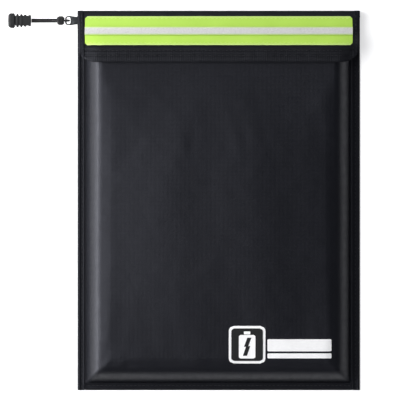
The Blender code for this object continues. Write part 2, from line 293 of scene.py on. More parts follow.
shade = tint(tree, grit, "#0b0c0e", "#141517")
connect(tree, shader, Base_Color=shade, Normal=bump(tree, grit, 0.0001))


def deselect():
    bpy.ops.object.select_all(action="DESELECT")


def grid(name, low, high, step, step_y=None):
    """A flat grid of faces about step metres wide, between two corners."""
    deselect()
    across = max(1, round((high[0] - low[0]) / step))
    along = max(1, round((high[1] - low[1]) / (step_y or step)))
    middle = ((low[0] + high[0]) / 2, (low[1] + high[1]) / 2, 0)
    bpy.ops.mesh.primitive_grid_add(x_subdivisions=across, y_subdivisions=along, size=1, location=middle)
    piece = bpy.context.object
    piece.scale = (high[0] - low[0], high[1] - low[1], 1)
    bpy.ops.object.transform_apply(location=True, rotation=False, scale=True)
    piece.name = name
    piece.data.name = name
    return piece


def shaped(piece, form):
    """Move each point (x, y) of a flat grid to form(x, y)."""
    for vert in piece.data.vertices:
        vert.co = form(vert.co.x, vert.co.y)
    piece.data.update()


def closed(piece, sharp=40):
    """Merge a lathed or swept skin's seams, point its faces outwards and shade it smooth."""
    deselect()
    piece.select_set(True)
    bpy.context.view_layer.objects.active = piece
    bpy.ops.object.mode_set(mode="EDIT")
    bpy.ops.mesh.select_all(action="SELECT")
    bpy.ops.mesh.remove_doubles(threshold=0.000001)
    bpy.ops.mesh.normals_make_consistent(inside=False)
    bpy.ops.object.mode_set(mode="OBJECT")
    bpy.ops.object.shade_smooth_by_angle(angle=math.radians(sharp))


def grip_radius(h, groove):
    """The grip's radius h metres from its middle towards its head, with grooves of the radius given."""
    radius = groove
    for at, rib_r in RIBS:
        rib = min(1, 2.2 * (1 - min(abs(h - at) / RIB_HALF, 1) ** 2))
        radius = max(radius, groove + (rib_r - groove) * rib)
    head = min(max((h - HEAD_START) / HEAD_RISE, 0.0), 1.0)
    radius = max(radius, groove + (GRIP_R - groove) * math.sin(head * math.pi / 2))
    if h < NECK_START:
        radius = max(radius, NECK_R)
    from_end = GRIP_HALF_L - abs(h)
    edge = HEAD_EDGE if h > 0 else NECK_EDGE
    if from_end < edge:
        radius -= edge - math.sqrt(max(edge**2 - (edge - from_end) ** 2, 0))
    return radius if from_end > 0.00001 else 0.0


grip = grid("rubber_pull_grip", (0, -GRIP_HALF_L), (1, GRIP_HALF_L), 1 / 32, 0.0003)


def grip_form(u, h):
    angle = 2 * math.pi * u
    face = min(max((abs(math.sin(angle)) - 0.45) / 0.35, 0.0), 1.0)
    radius = grip_radius(h, GROOVE_R + (FACE_R - GROOVE_R) * face)
    spot = Vector((-h, -radius * math.cos(angle), radius * math.sin(angle) * grip_flat))
    return grip_middle + spot


shaped(grip, grip_form)
closed(grip, 35)
dress(grip, rubber)
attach(grip, "zip_cord")
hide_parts("pull_grip")
tuple(route[0])

# Pull tab: die-cast zinc with a dark gunmetal plating, a waisted bar with a slot for the slider's bail at one
# end and a ring for the cord at the other. Its edges are tumbled round.
TAB_HALF = ((-0.1254, 0.0022), (-0.1262, 0.0032), (-0.1330, 0.0034), (-0.1410, 0.00375), (-0.1460, 0.0043))
TAB_HALF += ((-0.1490, 0.00475), (-0.1515, 0.0045), (-0.1529, 0.0036), (-0.1536, 0.0020))
TAB_EDGE = 0.00025
# Its slot and its ring, each as (middle, half its length, half its width)
TAB_HOLES = ((-0.1292, 0.0020, 0.0023), (-0.1502, 0.0020, 0.0036))
HOLE_STEPS, SQUARENESS = 28, 0.7
# The plating is a little cloudy, and rubbed lighter along its edges
gunmetal, tree, shader = new_finish("gunmetal_plated_zinc", Metallic=1.0)
place = add(tree, "TexCoord", "Object")
wear = speckle(tree, place, 0.003, 4.0)
worn = add(tree, "MapRange", 0, {0: wear, 1: 0.45, 2: 0.75, 3: 0.0, 4: 1.0})
edges = add(tree, "NewGeometry", "Pointiness")
bare = add(tree, "MapRange", 0, {0: edges, 1: 0.52, 2: 0.60, 3: 0.0, 4: 0.6})
both = add(tree, "Math", 0, {0: worn, 1: bare}, operation="MAXIMUM")
shade = tint(tree, both, "#242628", "#4a4c4f")
rough = add(tree, "MapRange", 0, {0: wear, 1: 0.3, 2: 0.7, 3: 0.28, 4: 0.42})
relief = bump(tree, wear, 0.00005)
connect(tree, shader, Base_Color=shade, Roughness=rough, Normal=relief)
outline = [(x, ZIP_Y + half) for x, half in TAB_HALF] + [(x, ZIP_Y - half) for x, half in TAB_HALF[::-1]]
tab_loops = [smooth_route([Vector((*p, 0)) for p in outline + outline[:1]], 0.0006)[:-1]]
for middle, half_x, half_y in TAB_HOLES:
    hole = []
    for k in range(HOLE_STEPS):
        angle = 2 * math.pi * k / HOLE_STEPS
        c, s = math.cos(angle), math.sin(angle)
        along = half_x * math.copysign(abs(c) ** SQUARENESS, c)
        aside = half_y * math.copysign(abs(s) ** SQUARENESS, s)
        hole.append(Vector((middle + along, ZIP_Y + aside, 0)))
    tab_loops.append(hole)
tab_curve = bpy.data.curves.new("gunmetal_pull_tab", "CURVE")
tab_curve.dimensions = "2D"
tab_curve.fill_mode = "BOTH"
tab_curve.extrude = (ring_high.z - ring_low.z) / 2 - TAB_EDGE
tab_curve.bevel_depth = TAB_EDGE
tab_curve.bevel_resolution = 2
tab_curve.offset = -TAB_EDGE
for loop in tab_loops:
    spline = tab_curve.splines.new("POLY")
    spline.use_cyclic_u = True
    spline.points.add(len(loop) - 1)
    for point, spot in zip(spline.points, loop):
        point.co = (*spot, 1.0)
tab = bpy.data.objects.new("gunmetal_pull_tab", tab_curve)
bpy.context.collection.objects.link(tab)
tab.location = (0, 0, PULL_Z)
deselect()
tab.select_set(True)
bpy.context.view_layer.objects.active = tab
bpy.ops.object.convert(target="MESH")
bpy.ops.object.transform_apply(location=True, rotation=False, scale=False)
closed(tab)
dress(tab, gunmetal)
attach(tab, "zip_tab")
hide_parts("pull_tab")

# Front wall: silicone-coated glass cloth, quilted to a felt, bound at its edges and puffed out by what the
# pouch holds. It is one cloth from the foot up to the zip, and bends at its top when the mouth gapes.
SEAM_X, SEAM_FOOT, LIP_Y = 0.1320, -0.1822, 0.1715
SIDE_ROLL, FOOT_ROLL, MOUTH_ROLL = 0.0155, 0.0150, 0.0240
CLOTH_T = 0.0006
THREAD = 0.0013  # the real threads lie 0.6 mm apart, which is too fine to show
CROWN = 0.0048
ROLL_ROUND = 1.75
PRESSURE, MOST_PUFF = 0.5, 0.0012
SWELL, DENT, PUCKER = 0.0006, 0.0002, 0.00022
FLANGE_Z = 0.0023
STEEPEST = 2.2  # the wall rises no faster than this from its seam
GAPE_START, GAPE_END = (0, 0.1460, 0), (0, 0.1705, 0)
front_low, front_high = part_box("front_panel")
LIP_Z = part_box("front_throat")[0].z + CLOTH_T
LENS_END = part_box("zip_tape_lower")[1].x


def smooth(t):
    t = min(max(t, 0.0), 1.0)
    return t * t * (3 - 2 * t)


def roll(distance, reach):
    """A filled cloth's edge: steep at its seam, then flat."""
    t = min(max(distance / reach, 0.0), 1.0)
    return 1 - (1 - t) ** ROLL_ROUND


def lesser(a, b, blend=0.12):
    """The smaller of two numbers, rounded where they meet."""
    near = max(blend - abs(a - b), 0.0) / blend
    return min(a, b) - near * near * blend / 4


def waver(x, y, size, seed=0.0):
    """Soft ups and downs of about size metres, between -1 and 1."""
    return noise.noise(Vector((x / size, y / size, seed)))


def front_height(x, y):
    """The outer face of the filled front wall."""
    side = roll(SEAM_X - abs(x), SIDE_ROLL)
    foot = roll(y - SEAM_FOOT, FOOT_ROLL)
    mouth = roll(LIP_Y - y, MOUTH_ROLL)
    base = FLANGE_Z + (LIP_Z - FLANGE_Z) * smooth((y - 0.130) / 0.02)
    full = max(lesser(side, foot), 0.0) * mouth
    inner = smooth((SEAM_X - abs(x)) / 0.10) * smooth((y - SEAM_FOOT) / 0.12) * smooth((0.135 - y) / 0.10)
    return base + (front_high.z - base) * full + CROWN * inner


def inflate(piece, held, pressure, most):
    """Blow a cloth up from where it is, held at its edges, with no point moving more than most metres."""
    group = piece.vertex_groups.new(name="held")
    points = [Vector(v.co) for v in piece.data.vertices]
    for index, point in enumerate(points):
        group.add([index], held(*point), "REPLACE")
    cloth = piece.modifiers.new("cloth", "CLOTH")
    cloth.settings.vertex_group_mass = "held"
    cloth.settings.quality = 6
    cloth.settings.mass = 0.25
    cloth.settings.tension_stiffness = 12
    cloth.settings.compression_stiffness = 12
    cloth.settings.bending_stiffness = 0.6
    cloth.settings.use_pressure = True
    cloth.settings.uniform_pressure_force = pressure
    cloth.settings.effector_weights.gravity = 0
    for number in range(1, 21):
        bpy.context.scene.frame_set(number)
    blown_piece = piece.evaluated_get(bpy.context.evaluated_depsgraph_get())
    blown = [Vector(v.co) for v in blown_piece.data.vertices]
    piece.modifiers.remove(cloth)
    bpy.context.scene.frame_set(1)
    for vert, start, end in zip(piece.data.vertices, points, blown):
        move = end - start
        if move.length > most:
            move *= most / move.length
        vert.co = start + move
    piece.data.update()


def modified(piece, kind, **settings):
    """Add a modifier to a piece and apply it."""
    deselect()
    piece.select_set(True)
    bpy.context.view_layer.objects.active = piece
    modifier = piece.modifiers.new(kind.lower(), kind)
    for key, value in settings.items():
        setattr(modifier, key, value)
    bpy.ops.object.modifier_apply(modifier=modifier.name)


def thicken(piece, thickness):
    """Give a cloth its thickness, under its face, and shade it smooth."""
    modified(piece, "SOLIDIFY", thickness=thickness, offset=-1)
    bpy.ops.object.shade_smooth_by_angle(angle=math.radians(50))


def weave(tree, place, spacing):
    """A plain weave with its threads spacing metres apart, 1 on a thread's crest."""
    warp = add(tree, "TexWave", "Fac", {"Vector": place, "Scale": WAVE / spacing}, bands_direction="X")
    weft = add(tree, "TexWave", "Fac", {"Vector": place, "Scale": WAVE / spacing}, bands_direction="Y")
    return add(tree, "Math", 0, {0: warp, 1: weft}, operation="MAXIMUM")


# Silicone-coated glass cloth: near black, its plain weave half drowned in the coating, which gives a soft low
# sheen; cloudy where the coating is thicker, with duller scuffs where it has been handled
def glass_cloth(name, size, dark="#090a0d", light="#111217", rough=0.44, ribs=None):
    material, tree, shader = new_finish(name, Specular_IOR_Level=0.24, Specular_Tint="#eef0ff")
    place = add(tree, "Mapping", 0, {"Vector": add(tree, "TexCoord", "UV"), "Scale": (*size, 1)})
    woven = weave(tree, place, THREAD)
    cloud = speckle(tree, place, 0.050, 3.0)
    scuff = speckle(tree, place, 0.006, 5.0)
    crease = speckle(tree, place, 0.018, 4.0)
    tone = add(tree, "Mix", 0, {0: 0.4, 2: cloud, 3: woven})
    shade = tint(tree, tone, dark, light)
    worn = add(tree, "MapRange", 0, {0: scuff, 1: 0.35, 2: 0.75, 3: rough - 0.05, 4: rough + 0.10})
    slack = add(tree, "Bump", 0, {"Height": crease, "Distance": 0.0010, "Strength": 0.3})
    relief = add(tree, "Bump", 0, {"Height": woven, "Distance": 0.00010, "Strength": 0.8, "Normal": slack})
    if ribs:
        fine = add(tree, "TexWave", "Fac", {"Vector": place, "Scale": WAVE / ribs[1]}, bands_direction="X")
        height = add(tree, "SeparateXYZ", "Y", {0: place})
        band = add(tree, "MapRange", 0, {0: height, 1: ribs[0], 2: ribs[0] + 0.001, 3: 1.0, 4: 0.0})
        ribbed = add(tree, "Math", 0, {0: fine, 1: band}, operation="MULTIPLY")
        relief = add(tree, "Bump", 0, {"Height": ribbed, "Distance": 0.00007, "Normal": relief})
    connect(tree, shader, Base_Color=shade, Roughness=worn, Normal=relief)
    return material


front_step = 0.0034
front = grid("front_cloth", (front_low.x, front_low.y), (front_high.x, LIP_Y), front_step)
front_size = (front_high.x - front_low.x, LIP_Y - front_low.y)
shaped(front, lambda x, y: (x, y, front_height(x, y)))


def front_held(x, y, z):
    side = min(SEAM_X - abs(x), y - SEAM_FOOT)
    return max(1 - smooth((side - 0.001) / 0.012), smooth((y - 0.118) / 0.012), 0.0)


inflate(front, front_held, PRESSURE, MOST_PUFF)
for vert in front.data.vertices:
    x, y, z = vert.co
    inside = min(SEAM_X - abs(x), y - SEAM_FOOT)
    loose = smooth(inside / 0.02) * smooth((0.132 - y) / 0.03)
    swell = SWELL * waver(x, y * 0.6, 0.045) + DENT * waver(x, y, 0.016, 3.0)
    by_seam = math.exp(-((inside - 0.007) ** 2) / (2 * 0.004**2)) * smooth((0.14 - y) / 0.02)
    if SEAM_X - abs(x) < y - SEAM_FOOT:
        pucker = waver(x * 0.4, y, 0.007, 7.0)
    else:
        pucker = waver(x, y * 0.4, 0.007, 9.0)
    vert.co.z = z + loose * swell + PUCKER * by_seam * pucker
modified(front, "SUBSURF", levels=1, render_levels=1)
for vert in front.data.vertices:
    inside = min(SEAM_X - abs(vert.co.x), vert.co.y - SEAM_FOOT)
    vert.co.z = min(vert.co.z, FLANGE_Z + STEEPEST * max(inside, 0.0))
front_points = [v.co for v in front.data.vertices]
front_faces = [p.vertices for p in front.data.polygons]
front_tree = BVHTree.FromPolygons(front_points, front_faces)
thicken(front, CLOTH_T)
dress(front, glass_cloth("silicone_coated_glass_cloth", front_size))
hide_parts("front_panel", "front_throat")


def lens(x):
    """How far the mouth's lip opens at x, from 1 in its middle to 0 at its ends."""
    return (1 - min(abs(x) / LENS_END, 1.0) ** 2) ** 1.2


def follow_lip(piece, start=GAPE_START, end=GAPE_END):
    """Let a piece bend with the lip of the mouth, which opens as a lens."""
    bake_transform(piece, "pouch", "mouth_lip", start=start, end=end)
    for vert, share in zip(piece.data.vertices, piece.data.attributes["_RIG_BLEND"].data):
        share.value *= lens(vert.co.x)


follow_lip(front)

# Back wall: the same cloth, flat where the pouch lies on it, and turned up a little into the bindings.
back_low, back_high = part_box("back_panel")


def back_height(x, y):
    lift = max(smooth((abs(x) - 0.1313) / 0.0024), smooth((-y - 0.1765) / 0.0055))
    return CLOTH_T + 0.0008 * lift


back = grid("back_cloth", (back_low.x, back_low.y), (back_high.x, back_high.y), 0.0025)
shaped(back, lambda x, y: (x, y, back_height(x, y)))
thicken(back, CLOTH_T)
back_size = (back_high.x - back_low.x, back_high.y - back_low.y)
dress(back, glass_cloth("back_glass_cloth", back_size, rough=0.58))
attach(back, "pouch")
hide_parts("back_panel")

# Insulating felt: needled glass fibre, off-white, in both walls between the cloth and the lining. It is
# sewn in out of sight; the front layer follows the filled cloth above it.
FIBRE = 0.0015
FELT_T = 0.0025
FELT_UNDER = 0.0015  # under the cloth's face
felt, tree, shader = new_finish("needled_glass_felt", Roughness=0.95)
place = add(tree, "TexCoord", "Object")
fibres = speckle(tree, place, FIBRE, 6.0)
shade = tint(tree, fibres, "#c9c4b6", "#ece8dd")
connect(tree, shader, Base_Color=shade, Normal=bump(tree, fibres, 0.0006))
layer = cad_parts["back_batting"]
layer.data.materials.clear()
layer.data.materials.append(felt)


def on_front(x, y):
    """The height of the front cloth's face."""
    return front_tree.ray_cast(Vector((x, y, 0.1)), Vector((0, 0, -1)))[0].z


felt_low, felt_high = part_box("front_batting")
front_felt = grid("front_felt", (felt_low.x, felt_low.y), (felt_high.x, felt_high.y), 0.004)
shaped(front_felt, lambda x, y: (x, y, on_front(x, y) - FELT_UNDER))
thicken(front_felt, FELT_T)
dress(front_felt, felt)
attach(front_felt, "pouch")
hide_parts("front_batting")

# Lining: aluminised glass cloth, silver and a little crinkled, sewn in with the zip tapes, so that it shows
# inside the open mouth.
LINING_T = 0.0004
CRINKLE = 0.012
MOUTH_FLOOR_X, MOUTH_FLOOR_TOP = 0.130, 0.1870
foil, tree, shader = new_finish("aluminised_glass_cloth", Metallic=0.8)
place = add(tree, "TexCoord", "Object")
crinkle = speckle(tree, place, CRINKLE, 5.0)
woven = weave(tree, place, THREAD)
shade = tint(tree, crinkle, "#8d9092", "#c4c7c9")
rough = add(tree, "MapRange", 0, {0: crinkle, 1: 0.3, 2: 0.7, 3: 0.34, 4: 0.5})
slack = add(tree, "Bump", 0, {"Height": crinkle, "Distance": 0.0020, "Strength": 0.6})
relief = add(tree, "Bump", 0, {"Height": woven, "Distance": 0.0001, "Normal": slack})
connect(tree, shader, Base_Color=shade, Roughness=rough, Normal=relief)
lining_low, lining_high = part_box("front_lining")
LINING_LIP = LIP_Y - 0.004


def lining_height(x, y):
    side = roll(lining_high.x + 0.0004 - abs(x), SIDE_ROLL)
    foot = roll(y - lining_low.y, FOOT_ROLL)
    mouth = roll(LINING_LIP + 0.0015 - y, MOUTH_ROLL - 0.004)
    base = lining_low.z + 0.0006 - 0.0008 * smooth((y - 0.13) / 0.02)
    return base + (lining_high.z - base) * max(lesser(side, foot), 0) * mouth


front_lining = grid("front_foil_lining", (lining_low.x, lining_low.y), (lining_high.x, LINING_LIP), 0.004)
shaped(front_lining, lambda x, y: (x, y, lining_height(x, y)))
thicken(front_lining, LINING_T)
dress(front_lining, foil)
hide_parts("front_lining")
follow_lip(front_lining, (0, 0.142, 0), (0, 0.1665, 0))
inner_low, inner_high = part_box("back_lining")
back_lining = grid("back_foil_lining", (inner_low.x, inner_low.y), (inner_high.x, inner_high.y), 0.004)
shaped(back_lining, lambda x, y: (x, y, inner_high.z - 0.0002 + 0.0002 * waver(x, y, 0.02, 2.0)))
thicken(back_lining, LINING_T)
dress(back_lining, foil)
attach(back_lining, "pouch")
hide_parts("back_lining")
floor_low = (-MOUTH_FLOOR_X, inner_high.y + 0.0004)
mouth_floor = grid("mouth_floor_lining", floor_low, (MOUTH_FLOOR_X, MOUTH_FLOOR_TOP), 0.004)
shaped(mouth_floor, lambda x, y: (x, y, back_height(x, y) + 0.0007))
thicken(mouth_floor, LINING_T)
dress(mouth_floor, foil)
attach(mouth_floor, "pouch")

# Bindings: black woven tape folded over the edges of both walls and sewn through with one row of stitches.
# The fold makes a round outer edge, and the tape's woven border a fine ridge along the inner one.
STITCH_PITCH, STITCH_LONG, STITCH_R = 0.0042, 0.0028, 0.00022
STITCH_IN = 0.0028  # a row lies this far from the tape's inner edge
ROW_END = 0.0020  # and stops this far from the tape's ends
RIB = 0.0011
side_low, side_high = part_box("side_binding_right")
foot_low, foot_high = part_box("bottom_binding")
BIND_H = side_high.z
# The section, as (distance out from the inner edge, height): a ridge, a flat, the fold, then back inside
binding_section = [
    (0.0, BIND_H - 0.0006),
    (0.0003, BIND_H - 0.0001),
    (0.0008, BIND_H),
    (0.0013, BIND_H - 0.0002),
    (0.0018, BIND_H - 0.0005),
    (0.0042, BIND_H - 0.0005),
    (0.0049, BIND_H - 0.0002),
    (0.0055, BIND_H),
    (0.0062, BIND_H - 0.0003),
    (0.0070, BIND_H - 0.0011),
    (0.0075, BIND_H / 2),
    (0.0073, 0.0006),
    (0.0066, 0.0),
    (0.0, 0.0),
    (0.0, 0.0005),
    (0.0064, 0.0005),
    (0.0069, BIND_H / 2),
    (0.0062, BIND_H - 0.0010),
    (0.0, BIND_H - 0.0010),
]
binding_finish, tree, shader = new_finish(
    "woven_binding_tape", Roughness=0.66, Specular_IOR_Level=0.17, Specular_Tint="#eef0ff", Sheen_Weight=0.03
)
place = add(tree, "TexCoord", "Object")
ribs = weave(tree, place, RIB)
dust = speckle(tree, place, 0.020, 5.0)
tone = add(tree, "Mix", 0, {0: 0.5, 2: ribs, 3: dust})
shade = tint(tree, tone, "#06070a", "#0f1015")
connect(tree, shader, Base_Color=shade, Normal=bump(tree, ribs, 0.00015))

# Bonded nylon thread: twisted, a shade lighter than the tape that it is sewn through
thread, tree, shader = new_finish("bonded_nylon_thread", Roughness=0.5)
place = add(tree, "TexCoord", "Object")
twist = add(tree, "TexWave", "Fac", {"Vector": place, "Scale": WAVE / 0.0006}, bands_direction="DIAGONAL")
shade = tint(tree, twist, "#101012", "#26272a")
connect(tree, shader, Base_Color=shade, Normal=bump(tree, twist, 0.0001))


def edge_strip(name, section, start, end, steps):
    """A strip with one section all along a straight line, its outer side on the line's left."""
    deselect()
    bpy.ops.mesh.primitive_circle_add(vertices=len(section), fill_type="NGON")
    piece = bpy.context.object
    piece.name = name
    piece.data.name = name
    start, end = Vector(start), Vector(end)
    out = Vector((0, 0, 1)).cross((end - start).normalized())
    for vert, (u, w) in zip(piece.data.vertices, section):
        vert.co = start + out * u + Vector((0, 0, w))
    bpy.ops.object.mode_set(mode="EDIT")
    bpy.ops.mesh.select_all(action="SELECT")
    for _ in range(steps):
        bpy.ops.mesh.extrude_region_move(TRANSFORM_OT_translate={"value": (end - start) / steps})
    bpy.ops.object.mode_set(mode="OBJECT")
    closed(piece)
    return piece


def repeated(name, bead, spots):
    """Copies of a small bead at spots, each a place and the directions of its x, y and z, in one mesh."""
    verts, faces = [], []
    for place, axes in spots:
        first = len(verts)
        verts += [place + axes[0] * v.co.x + axes[1] * v.co.y + axes[2] * v.co.z for v in bead.data.vertices]
        faces += [[first + k for k in p.vertices] for p in bead.data.polygons]
    bpy.data.objects.remove(bead, do_unlink=True)
    mesh = bpy.data.meshes.new(name)
    mesh.from_pydata(verts, [], faces)
    mesh.shade_smooth()
    piece = bpy.data.objects.new(name, mesh)
    bpy.context.collection.objects.link(piece)
    return piece


def stitches(name, points, material, long=STITCH_LONG, pitch=STITCH_PITCH):
    """A row of lockstitches along points, each a short bead of thread that lies on the cloth."""
    deselect()
    bpy.ops.mesh.primitive_uv_sphere_add(segments=6, ring_count=4, radius=1)
    bead = bpy.context.object
    spots = []
    carried = pitch / 2
    for a, b in zip(points, points[1:]):
        a, b = Vector(a), Vector(b)
        along = (b - a).normalized()
        side = Vector((0, 0, 1)).cross(along).normalized()
        while carried < (b - a).length:
            axes = (side * STITCH_R, along.cross(side) * STITCH_R, along * long / 2)
            spots.append((a + along * carried, axes))
            carried += pitch
        carried -= (b - a).length
    row = repeated(name, bead, spots)
    dress(row, material)
    return row


for side_name, sign in (("left", -1), ("right", 1)):
    ends = [(sign * side_low.x, side_low.y, 0), (sign * side_low.x, side_high.y, 0)]
    strip = edge_strip(f"binding_tape_{side_name}", binding_section, *ends[:: -sign], 60)
    dress(strip, binding_finish)
    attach(strip, "pouch")
    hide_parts(f"side_binding_{side_name}")
    stitch_x, stitch_z = sign * (side_low.x + STITCH_IN), BIND_H - 0.0005
    line = [(stitch_x, side_low.y + ROW_END, stitch_z), (stitch_x, side_high.y - ROW_END, stitch_z)]
    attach(stitches(f"binding_stitches_{side_name}", line, thread), "pouch")
ends = [(foot_high.x, foot_high.y, 0), (foot_low.x, foot_high.y, 0)]
strip = edge_strip("binding_tape_bottom", binding_section, *ends, 50)
dress(strip, binding_finish)
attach(strip, "pouch")
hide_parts("bottom_binding")
stitch_y = foot_high.y - STITCH_IN
line = [(foot_low.x + ROW_END, stitch_y, stitch_z), (foot_high.x - ROW_END, stitch_y, stitch_z)]
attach(stitches("binding_stitches_bottom", line, thread), "pouch")

# Zip: a number 5 nylon coil zip. Each side is a woven tape with a coil sewn along its edge; the turns of one
# coil stand between those of the other. The lower side bends with the mouth's lip.
TAPE_RIB = 0.0010
TOOTH_PITCH = 0.0016
TOOTH_WIRE = 0.30  # thickness of a coil's turn, as a share of its height
TURN_HALF_X, TURN_HALF_Y = 0.0011, 0.0010
COIL_OUT, SEAM_OUT = 0.0013, 0.0029  # from the zip's middle line
tape_low, tape_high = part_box("zip_tape_upper")
lower_low, lower_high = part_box("zip_tape_lower")
coil_low, coil_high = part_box("zip_coil_upper")
zip_finish, tree, shader = new_finish("woven_zip_tape", Roughness=0.82)
place = add(tree, "TexCoord", "Object")
warp = add(tree, "TexWave", "Fac", {"Vector": place, "Scale": WAVE / TAPE_RIB}, bands_direction="Y")
pick = add(tree, "TexWave", "Fac", {"Vector": place, "Scale": WAVE / TAPE_RIB}, bands_direction="DIAGONAL")
ribs = add(tree, "Math", 0, {0: warp, 1: pick}, operation="MAXIMUM")
shade = tint(tree, ribs, "#101012", "#222326")
connect(tree, shader, Base_Color=shade, Normal=bump(tree, ribs, 0.0002))
nylon, tree, shader = new_finish("nylon_monofilament", Roughness=0.36)
place = add(tree, "TexCoord", "Object")
glint = speckle(tree, place, 0.002, 2.0)
shade = tint(tree, glint, "#141416", "#26272a")
connect(tree, shader, Base_Color=shade, Normal=bump(tree, glint, 0.00005))


def zip_half(name, low, high, sign, nodes):
    """One side of the zip: its tape, its coil, and the row of stitches that holds the coil."""
    tape = grid(f"zip_{name}_tape", low, high, 0.003, 0.002)
    shaped(tape, lambda x, y: (x, y, tape_high.z + 0.00005 * waver(x, y, 0.012, 5.0)))
    thicken(tape, tape_high.z - tape_low.z)
    dress(tape, zip_finish)
    deselect()
    bpy.ops.mesh.primitive_torus_add(
        major_segments=8, minor_segments=4, major_radius=1 - TOOTH_WIRE, minor_radius=TOOTH_WIRE
    )
    turn = bpy.context.object
    height = (coil_high.z - coil_low.z) / 2
    axes = (Vector((0, TURN_HALF_Y, 0)), Vector((0, 0, height)), Vector((TURN_HALF_X, 0, 0)))
    offset = TOOTH_PITCH / 4 * sign
    count = int((coil_high.x - coil_low.x - 0.003) / TOOTH_PITCH)
    spots = []
    for k in range(count):
        x = (k - (count - 1) / 2) * TOOTH_PITCH + offset
        spots.append((Vector((x, ZIP_Y + sign * COIL_OUT, (coil_low.z + coil_high.z) / 2)), axes))
    coil = repeated(f"zip_{name}_coil", turn, spots)
    dress(coil, nylon)
    y = ZIP_Y + sign * SEAM_OUT
    line = [(low[0] + 0.001, y, tape_high.z), (high[0] - 0.001, y, tape_high.z)]
    seam = stitches(f"zip_{name}_seam", line, thread, 0.0018, 0.0024)
    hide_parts(*(f"zip_tape_{node}" for node in nodes))
    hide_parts(*(f"zip_coil_{node}" for node in nodes))
    return tape, coil, seam


for piece in zip_half("upper", (tape_low.x, tape_low.y), (tape_high.x, tape_high.y), 1, ["upper"]):
    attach(piece, "pouch")
lower_nodes = ["lower", "lower_left", "lower_right"]
for piece in zip_half("lower", (tape_low.x, lower_low.y), (tape_high.x, lower_high.y), -1, lower_nodes):
    follow_lip(piece, (0, 0.1500, 0), (0, 0.1600, 0))

# Slider, bail and end stops: die-cast zinc, plated like the tab. Their frame pieces have the real shapes, and
# get the plated finish.
for metal_name in ("slider_body", "slider_bail", "zip_stop_left", "zip_stop_right"):
    metal_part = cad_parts[metal_name]
    metal_part.data.materials.clear()
    metal_part.data.materials.append(gunmetal)

# Hook and loop tapes: 10 mm woven nylon, the loop side sewn to the front wall and the hook side under the
# flap's edge, so that the flap stays down over the zip.
PILE = 0.0012


def pile_tape(name, node, up, material):
    """A strip of fastener tape, its pile on the side that faces up (1) or down (-1)."""
    low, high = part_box(node)
    strip = grid(name, (low.x, low.y), (high.x, high.y), 0.0016)
    thickness = high.z - low.z
    edge = 0.0010

    def form(x, y):
        inside = min(x - low.x, high.x - x, y - low.y, high.y - y)
        fluff = 0.3 * waver(x, y, 0.0023, 1.0) + 0.3 * waver(x, y, 0.0051, 6.0)
        height = thickness * (0.45 + (0.3 + 0.25 * fluff) * min(inside / edge, 1.0))
        return (x, y, low.z + height if up > 0 else high.z)

    shaped(strip, form)
    thicken(strip, thickness * (0.42 if up > 0 else 0.85))
    dress(strip, material)
    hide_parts(node)
    return strip


def pile_finish(name, knit, depth):
    """Black nylon pile: tufts knit metres apart, with shade painted into the gaps between them."""
    material, tree, shader = new_finish(name, Roughness=0.9, Sheen_Weight=0.2, Sheen_Roughness=0.6)
    place = add(tree, "TexCoord", "Object")
    tuft_relief_and_shade = add(tree, "TexVoronoi", "Distance", {"Vector": place, "Scale": 1 / knit})
    # Painted shade: the colour darkens away from each tuft's middle into the sunken gaps, by the same pattern
    # that raises the tufts
    shade = tint(tree, tuft_relief_and_shade, "#141518", "#060608")
    relief = add(tree, "Bump", 0, {"Height": tuft_relief_and_shade, "Distance": depth}, invert=True)
    connect(tree, shader, Base_Color=shade, Normal=relief)
    return material


loops = pile_tape("loop_fastener", "loop_tape", 1, pile_finish("brushed_nylon_loops", PILE, 0.0006))
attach(loops, "pouch")
hooks = pile_tape("hook_fastener", "hook_tape", -1, pile_finish("moulded_nylon_hooks", 0.0014, 0.0008))
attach(hooks, "flap")

# Flap: one piece of the coated cloth, sewn to the back wall's top edge, that stands up behind the zip, turns
# over it and lies on the front wall. Its lower hem is turned up inside and sewn with two rows.
FLAP_HALF_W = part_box("flap_panel")[1].x
FLAP_UNDER, FLAP_RISE = 0.0132, 0.0135  # its lower side over the zip, and how much higher it is in front
FLAP_LOW, CORNER_X, CORNER_Y = 0.1378, 0.0190, 0.0140
FLAP_T = 0.0008
INNER_T, INNER_TOP, INNER_LONG = 0.0005, 0.1896, 0.05
INNER_SIDE, INNER_FOOT = 0.0015, 0.0020  # how far the inner cloth stays inside the flap's edges
FLAP_FACE = 0.0019  # from the flap's lower side up to its outer face, through both cloths
WALL_Y, WALL_FOOT, TURN_R = 0.1897, 0.0004, 0.0025
HEM_SEAMS, HEM_ROW_X = (0.1495, 0.1445), 0.124
HEM_RIB = 0.0022


def flap_low(x):
    """The flap's lower edge, with rounded corners."""
    t = min(max((abs(x) - (FLAP_HALF_W - CORNER_X)) / CORNER_X, 0.0), 1.0)
    return FLAP_LOW + CORNER_Y * (1 - math.sqrt(1 - t * t))


def flap_spread(y):
    """How much wider than its front edge the flap is at y: it is sewn across the pouch's whole width."""
    return 1 + 0.009 * smooth((y - 0.170) / 0.015)


def flap_under(x, y):
    """The height of the flap's lower side: low over the zip, then up and over the filled front wall."""
    rise = smooth((0.1725 - y) / 0.0225)
    droop = 0.2 * smooth((abs(x) - 0.118) / (cad_high[0] - 0.118))
    return FLAP_UNDER + FLAP_RISE * rise * (1 - droop)


turn_z = FLAP_UNDER + FLAP_FACE - TURN_R
wall_up = turn_z - WALL_FOOT
turn_long = TURN_R * math.pi / 2
front_part = WALL_Y - TURN_R - FLAP_LOW
flap_long = wall_up + turn_long + front_part


